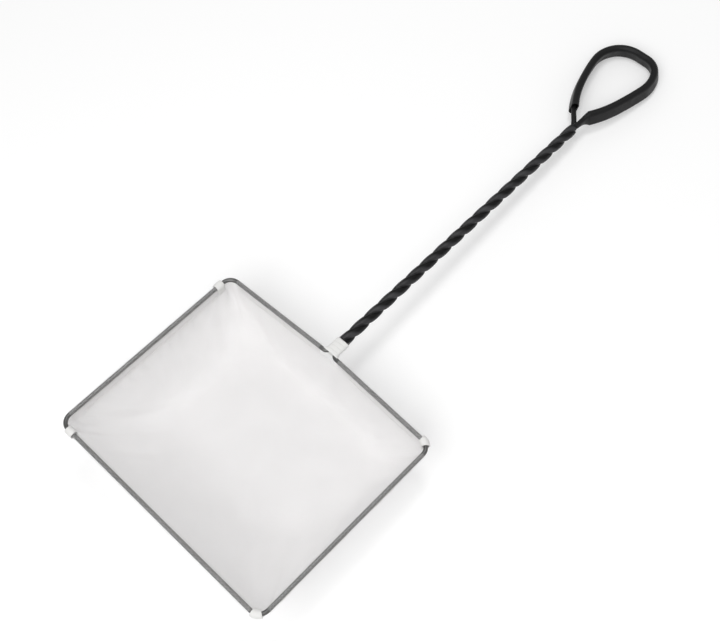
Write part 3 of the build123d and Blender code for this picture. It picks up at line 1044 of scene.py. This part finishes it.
class HANDNET_OT_stitches(PieceOperator, bpy.types.Operator):
    """Single stitches along each hem, on both its faces"""

    bl_idname = "handnet.stitches"
    bl_label = "Stitches"

    def execute(self, context):
        finish = finish_of("sewing_thread", sewing_thread)
        for number, (name, side) in enumerate(hoop_sides().items()):
            row = self.stitch_row(f"stitches_{name}", side, number, finish)
            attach(row, "net_frame")
            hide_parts(f"thread_{name}")
        return {"FINISHED"}

    def stitch_row(self, name, side, number, finish):
        """Short arched threads that dip into the cloth at both ends."""
        sizes = bpy.context.scene.net_sizes
        margin = sizes.tab + STITCH_MARGIN
        begin, finish_at = side[2] + margin, beside(side)[2] - side[3] - margin - sizes.stitch
        share = np.linspace(0, 1, STITCH_RINGS)
        reach = sizes.thread / 2 * np.sqrt(np.clip(STITCH_FULL - (2 * share - 1) ** 4, STITCH_LEAST, 1))
        one_stitch = tube_faces(STITCH_RINGS, STITCH_SIDES)
        across = np.arange(STITCH_SIDES + 1) * sizes.thread / 2
        points, faces, spots = [], [], []
        for distance in np.arange(begin, finish_at, sizes.stitch_step):
            slant = STITCH_STRAY * stray(distance / STITCH_STRAY_SIZE, number * STITCH_SEED, 4)
            for face in (1, -1):
                line = [
                    hung(
                        side, distance + sizes.stitch * s, face * (STITCH_OFF + STITCH_ARCH * math.sin(math.pi * s)),
                        sizes.stitch_depth + slant * (1 - 2 * s),
                    )
                    for s in share
                ]
                base = len(points)
                points += list(tube(from_hoop(line), reach, STITCH_SIDES).reshape(-1, 3))
                faces += [tuple(base + corner for corner in corners) for corners in one_stitch]
                spots += tube_map(STITCH_RINGS, STITCH_SIDES, across, share * sizes.stitch)
        return piece(name, points, faces, finish, spots)


TAB_ROWS, BENT_ROWS = 15, 17
TAB_BENDS, TAB_TAILS = 22, 6  # points round the wire and down each leg
TAB_GAP, TAB_LEG = 0.00012, 0.0004  # off the hem's round part, and off the middle of its tail
TAB_PUFF, TAB_STRAY, TAB_RAGGED = 0.00016, 0.0001, 0.12  # unevenness round the wire and, as a share, of the low edges
STRAY_TURNS, STRAY_SEED = 2.5, 4.7  # of the noise along a tab
RAGGED_TURNS, RAGGED_SEED = 3, 2.9
BACK_SWEEP, FRONT_SWEEP = (46, 92), (278, 326)  # angles round the bends of the right corners

WRAP_OFF, WRAP_END = 0.0004, 0.01345  # start above the hoop's peak, and end along the handle
WRAP_LAP = 0.0026  # from one turn of the tape to the next
WRAP_SIDES, WRAP_ROWS, WRAP_MAP_ROW = 56, 46, 10
WRAP_GAP, WRAP_RIDGE, WRAP_RIDGE_CURVE = 0.0001, 0.00022, 1.5  # off the wire, and the step from turn to turn
WRAP_EDGE, WRAP_EDGE_SHARE = 0.0006, 0.55  # length of the thinner edges, and the tape's share that is left there
WRAP_FLARE, WRAP_FLARE_REACH = 0.0016, 0.0014  # wider at the hoop
WRAP_FLATNESS = 2.2


class HANDNET_OT_tabs(PieceOperator, bpy.types.Operator):
    """White folds of tape over the hem beside the corners, and the wrap on the neck"""

    bl_idname = "handnet.tabs"
    bl_label = "Tabs and neck wrap"

    def execute(self, context):
        sizes = context.scene.net_sizes
        sides = hoop_sides()
        finish = finish_of("woven_tape", woven_tape)
        straight = {"back_left": "left", "front_left": "front"}
        for number, (name, side_name) in enumerate(straight.items()):
            side = sides[side_name]
            distances = np.linspace(side[2], side[2] + sizes.tab, TAB_ROWS)
            rows = [
                [hung(side, distance, *spot) for spot in self.fold(number, row / (TAB_ROWS - 1))]
                for row, distance in enumerate(distances)
            ]
            self.finish_tab(name, np.array(rows), distances, finish)
        right, corner = hoop_half() - sizes.corner, sizes.corner
        slope = math.atan(sizes.peak / (hoop_half() - sizes.neck_half))
        back = -corner * (1 - math.sin(slope)) / math.cos(slope)
        self.bent_tab("back_right", 2, (right, back, 0), BACK_SWEEP, finish)
        self.bent_tab("front_right", 3, (right, corner - sizes.depth, 0), FRONT_SWEEP, finish)
        self.neck_wrap(finish)
        return {"FINISHED"}

    def fold(self, number, share):
        """Section of the folded tape, in the hem's leaning section plane: outer line, then the inner one back."""
        sizes = bpy.context.scene.net_sizes
        uneven = TAB_STRAY * stray(share * STRAY_TURNS, number * STRAY_SEED, 1)
        inner = sizes.hem_radius + TAB_GAP + TAB_PUFF * math.sin(math.pi * share) + uneven
        ragged = TAB_RAGGED * stray(share * RAGGED_TURNS, number * RAGGED_SEED, 6)
        low = sizes.hem_radius + sizes.tab_tail * (1 + ragged)
        outside = folded(inner + sizes.tape, TAB_LEG + sizes.tape, low, TAB_BENDS, TAB_TAILS)
        return outside + folded(inner, TAB_LEG, low, TAB_BENDS, TAB_TAILS)[::-1]

    def finish_tab(self, name, grid, distances, finish):
        """Closes the tape's ends and puts the tab on the net."""
        rows, columns = grid.shape[:2]
        closed = np.concatenate([grid[rows // 2], grid[rows // 2][:1]])
        faces = grid_faces(rows, columns, True)
        spots = grid_map(rows, columns, True, steps_along(closed), distances)
        for row in (0, rows - 1):
            for column in range(columns // 2 - 1):
                quad = (column, column + 1, columns - 2 - column, columns - 1 - column)
                faces.append(tuple(row * columns + c for c in quad))
                spots += [(closed[c][0], closed[c][1]) for c in quad]
        tab = piece(f"tab_tape_{name}", from_hoop(grid.reshape(-1, 3)), faces, finish, spots)
        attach(tab, "net_frame")
        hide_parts(f"tab_{name}")

    def bent_tab(self, name, number, centre, sweep, finish):
        """Tab round the bend of one corner, between two angles."""
        corner = bpy.context.scene.net_sizes.corner
        turns = np.radians(np.linspace(*sweep, BENT_ROWS))
        rows = []
        for step, turn in enumerate(turns):
            outward = np.array([math.cos(turn), math.sin(turn), 0])
            section = [leaned(*spot) for spot in self.fold(number, step / (BENT_ROWS - 1))]
            rows.append([np.array(centre) + outward * (corner - into) + UP * above for into, above in section])
        self.finish_tab(name, np.array(rows), turns * corner, finish)

    def neck_wrap(self, finish):
        """Tape wound round the two neck legs, each turn lapping the last, closed inside along the legs."""
        sizes = bpy.context.scene.net_sizes
        start, end, low = sizes.peak + WRAP_OFF, WRAP_END, sizes.wire / 2 + WRAP_GAP
        angle = round_angles(WRAP_SIDES)

        def ring(y, thick, spread):
            x = thick * np.cos(angle) + spread * np.tanh(WRAP_FLATNESS * np.cos(angle))
            return np.stack([x, np.full(WRAP_SIDES, y), thick * np.sin(angle)], -1)

        levels = np.linspace(start, end, WRAP_ROWS)
        rows = [ring(start, low, sizes.neck_half)]
        for y in levels:
            climb = (y - start) / WRAP_LAP + angle / FULL_TURN
            ridge = WRAP_RIDGE * (climb % 1.0) ** WRAP_RIDGE_CURVE
            edge = math.sqrt(max(0.0, min(1.0, (y - start) / WRAP_EDGE, (end - y) / WRAP_EDGE)))
            thick = low + sizes.tape * (WRAP_EDGE_SHARE + (1 - WRAP_EDGE_SHARE) * edge) + ridge
            spread = sizes.neck_half + WRAP_FLARE * math.exp(-((y - start) / WRAP_FLARE_REACH) ** 2)
            rows.append(ring(y, thick, spread))
        rows.append(ring(end, low, sizes.neck_half))
        grid = np.array(rows)
        count = len(grid)
        total = count * WRAP_SIDES
        faces = [tuple(corner % total for corner in face) for face in grid_faces(count + 1, WRAP_SIDES, True)]
        closed = np.concatenate([grid[WRAP_MAP_ROW], grid[WRAP_MAP_ROW][:1]])
        along = np.concatenate([[start], levels, [end, start]])
        spots = grid_map(count + 1, WRAP_SIDES, True, steps_along(closed), along)
        wrap = piece("neck_tape", from_hoop(grid.reshape(-1, 3)), faces, finish, spots)
        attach(wrap, "net_frame")
        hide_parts("neck_wrap")


SEAM_DROP = 0.96  # where the seams end above the floor
SEAM_OUT = 0.0004  # off the cloth
SEAM_SIDES, SEAM_STEP, SEAM_SIDE = 10, 0.00025, 0.0003  # points round, and distances between points along and round
SEAM_RADIUS, SEAM_BEAD, SEAM_BEAD_STEP = 0.00036, 0.00012, 0.0013  # and the overlocking's beads on it
SEAM_TIP, SEAM_TIP_LENGTH, SEAM_TIP_LEAST = 0.0004, 0.004, 0.05  # pointed top
SEAM_THINNING, SEAM_THINNING_CURVE = 0.85, 1.5  # towards the floor


class HANDNET_OT_seams(PieceOperator, bpy.types.Operator):
    """Overlocked seams down the bag's four corners"""

    bl_idname = "handnet.seams"
    bl_label = "Corner seams"

    def execute(self, context):
        grid, starts = bag_surface()
        normal = surface_normals(grid)
        finish = finish_of("woven_tape", woven_tape)
        rows = slice(1, wall_row(SEAM_DROP))
        for name, column in zip(("front_left", "front_right", "back_right", "back_left"), starts):
            line = grid[rows, column] + normal[rows, column] * SEAM_OUT
            along = steps_along(line)
            fine = np.arange(0, along[-1], SEAM_STEP)
            line = np.stack([np.interp(fine, along, line[:, axis]) for axis in range(3)], -1)
            taper = np.sqrt(np.clip((fine + SEAM_TIP) / SEAM_TIP_LENGTH, SEAM_TIP_LEAST, 1))
            taper *= 1 - SEAM_THINNING * (fine / fine[-1]) ** SEAM_THINNING_CURVE
            reach = (SEAM_RADIUS + SEAM_BEAD * np.abs(np.sin(math.pi * fine / SEAM_BEAD_STEP))) * taper
            points = tube(line, reach, SEAM_SIDES).reshape(-1, 3)
            faces = tube_faces(len(line), SEAM_SIDES)
            spots = tube_map(len(line), SEAM_SIDES, np.arange(SEAM_SIDES + 1) * SEAM_SIDE, fine)
            seam = piece(f"seam_cord_{name}", points, faces, finish, spots)
            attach(seam, "net_frame")
            collapse(seam)
            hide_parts(f"seam_{name}")
        return {"FINISHED"}


OPERATORS = (
    HANDNET_OT_studio,
    HANDNET_OT_wire,
    HANDNET_OT_handle,
    HANDNET_OT_loop,
    HANDNET_OT_hems,
    HANDNET_OT_stitches,
    HANDNET_OT_tabs,
    HANDNET_OT_seams,
    HANDNET_OT_bag,
)


class HANDNET_PT_sidebar(bpy.types.Panel):
    """The net's sizes, finishes and pieces"""

    bl_idname = "HANDNET_PT_sidebar"
    bl_label = "Hand Net"
    bl_space_type = "VIEW_3D"
    bl_region_type = "UI"
    bl_category = "Hand Net"

    def draw(self, context):
        for group in (context.scene.net_sizes, context.scene.net_finishes, context.scene.net_studio):
            box = self.layout.box()
            for name in group.__annotations__:
                box.prop(group, name)
        for operator in OPERATORS:
            self.layout.operator(operator.bl_idname)


GROUPS = {"net_sizes": NetSizes, "net_finishes": NetFinishes, "net_studio": NetStudio}


def register():
    for name, group in GROUPS.items():
        bpy.utils.register_class(group)
        setattr(bpy.types.Scene, name, bpy.props.PointerProperty(type=group))
    for made in (*OPERATORS, HANDNET_PT_sidebar):
        bpy.utils.register_class(made)


def unregister():
    for made in (HANDNET_PT_sidebar, *reversed(OPERATORS)):
        bpy.utils.unregister_class(made)
    for name, group in GROUPS.items():
        delattr(bpy.types.Scene, name)
        bpy.utils.unregister_class(group)


def main():
    register()
    for operator in OPERATORS:
        module, name = operator.bl_idname.split(".")
        getattr(getattr(bpy.ops, module), name)()
    bpy.context.view_layer.update()


if __name__ == "__main__":
    main()
